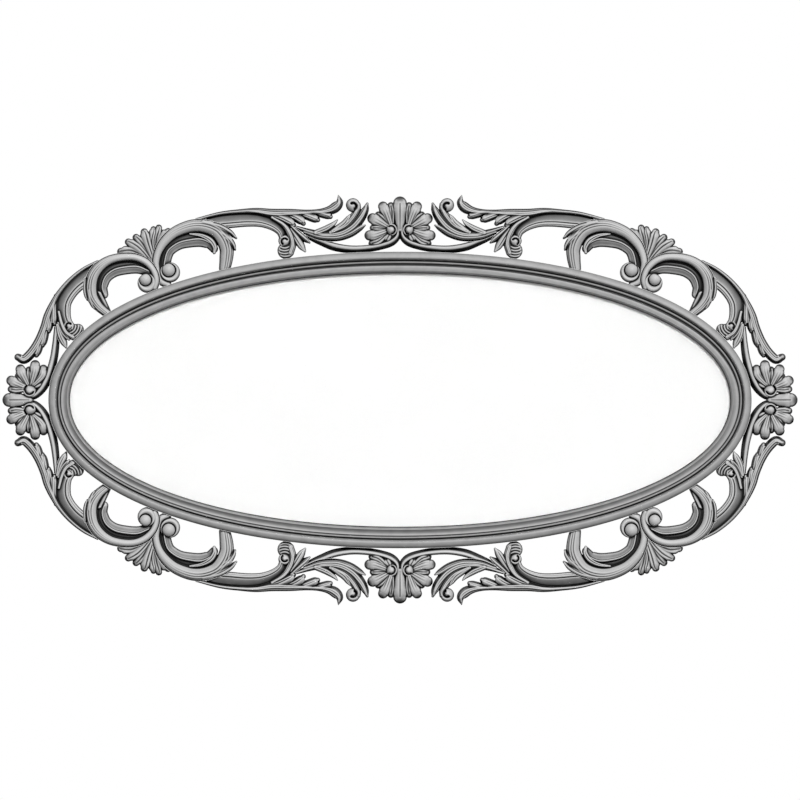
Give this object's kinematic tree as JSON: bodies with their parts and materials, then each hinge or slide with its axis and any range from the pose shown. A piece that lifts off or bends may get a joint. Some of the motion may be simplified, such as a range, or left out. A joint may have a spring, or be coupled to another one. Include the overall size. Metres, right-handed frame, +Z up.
{
  "type": "carved picture frame",
  "caption": "Wide oval picture frame with a swept moulding, openwork scroll, leaf and shell carving round it, a glazed blank picture, turn buttons and ring hangers.",
  "frame": {"origin": "centre of the oval, on the plane of the wall that the two rubber bumpers touch", "axes": "+X to the right seen from the front and along the long axis of the oval, +Y backwards into the wall, +Z up; the carved front faces -Y"},
  "size_m": [1.1928, 0.029, 0.6146],
  "materials": {
    "carved_wood": "carved wood under satin grey paint, darker in the hollows",
    "rear_wood": "bare wood",
    "glazing": "clear",
    "blank_card": "plain white card",
    "backing_board": "brown hardboard",
    "button_brass": "rolled brass",
    "fitting_steel": "zinc plated",
    "bumper_rubber": "matt"
  },
  "bodies": {
    "frame": {"moulding_top": "carved_wood", "moulding_right": "carved_wood", "moulding_bottom": "carved_wood", "moulding_left": "carved_wood", "joint_key_1": "rear_wood", "joint_key_2": "rear_wood", "joint_key_3": "rear_wood", "joint_key_4": "rear_wood", "outer_scroll_upper_right": "carved_wood", "outer_scroll_lower_right": "carved_wood", "outer_scroll_lower_left": "carved_wood", "outer_scroll_upper_left": "carved_wood", "inner_scroll_upper_right": "carved_wood", "inner_scroll_lower_right": "carved_wood", "inner_scroll_lower_left": "carved_wood", "inner_scroll_upper_left": "carved_wood", "palmette_upper_right": "carved_wood", "palmette_lower_right": "carved_wood", "palmette_lower_left": "carved_wood", "palmette_upper_left": "carved_wood", "side_arm_upper_right": "carved_wood", "side_arm_lower_right": "carved_wood", "side_arm_lower_left": "carved_wood", "side_arm_upper_left": "carved_wood", "top_arm_upper_right": "carved_wood", "top_arm_lower_right": "carved_wood", "top_arm_lower_left": "carved_wood", "top_arm_upper_left": "carved_wood", "leaf_spray_upper_right": "carved_wood", "leaf_spray_lower_right": "carved_wood", "leaf_spray_lower_left": "carved_wood", "leaf_spray_upper_left": "carved_wood", "shell_top": "carved_wood", "shell_bottom": "carved_wood", "shell_right": "carved_wood", "shell_left": "carved_wood", "glazing": "glazing", "blank_picture": "blank_card", "backing_board": "backing_board", "turn_button_screw_1": "fitting_steel", "turn_button_screw_2": "fitting_steel", "turn_button_screw_3": "fitting_steel", "turn_button_screw_4": "fitting_steel", "turn_button_screw_5": "fitting_steel", "turn_button_screw_6": "fitting_steel", "hanger_strap_right": "fitting_steel", "hanger_screw_right": "fitting_steel", "hanger_strap_left": "fitting_steel", "hanger_screw_left": "fitting_steel", "bumper_right": "bumper_rubber", "bumper_left": "bumper_rubber"},
    "turn_button_1": {"turn_button_1": "button_brass"},
    "turn_button_2": {"turn_button_2": "button_brass"},
    "turn_button_3": {"turn_button_3": "button_brass"},
    "turn_button_4": {"turn_button_4": "button_brass"},
    "turn_button_5": {"turn_button_5": "button_brass"},
    "turn_button_6": {"turn_button_6": "button_brass"},
    "hanger_ring_right": {"hanger_ring_right": "fitting_steel"},
    "hanger_ring_left": {"hanger_ring_left": "fitting_steel"}
  },
  "joints": [
    {"name": "turn_button_1_turn", "type": "hinge", "parent": "frame", "child": "turn_button_1", "pos_m": [0.21718, -0.0055, 0.18796], "axis": [0, 1, 0], "range_deg": [-90, 90]},
    {"name": "turn_button_2_turn", "type": "hinge", "parent": "frame", "child": "turn_button_2", "pos_m": [0.5105, -0.0055, 0], "axis": [0, 1, 0], "range_deg": [-90, 90]},
    {"name": "turn_button_3_turn", "type": "hinge", "parent": "frame", "child": "turn_button_3", "pos_m": [0.21718, -0.0055, -0.18796], "axis": [0, 1, 0], "range_deg": [-90, 90]},
    {"name": "turn_button_4_turn", "type": "hinge", "parent": "frame", "child": "turn_button_4", "pos_m": [-0.21718, -0.0055, -0.18796], "axis": [0, 1, 0], "range_deg": [-90, 90]},
    {"name": "turn_button_5_turn", "type": "hinge", "parent": "frame", "child": "turn_button_5", "pos_m": [-0.5105, -0.0055, 0], "axis": [0, 1, 0], "range_deg": [-90, 90]},
    {"name": "turn_button_6_turn", "type": "hinge", "parent": "frame", "child": "turn_button_6", "pos_m": [-0.21718, -0.0055, 0.18796], "axis": [0, 1, 0], "range_deg": [-90, 90]},
    {"name": "hanger_ring_right_swing", "type": "hinge", "parent": "frame", "child": "hanger_ring_right", "pos_m": [0.30074, -0.0028, 0.1828], "axis": [1, 0, 0], "range_deg": [0, 180]},
    {"name": "hanger_ring_left_swing", "type": "hinge", "parent": "frame", "child": "hanger_ring_left", "pos_m": [-0.30074, -0.0028, 0.1828], "axis": [1, 0, 0], "range_deg": [0, 180]}
  ]
}
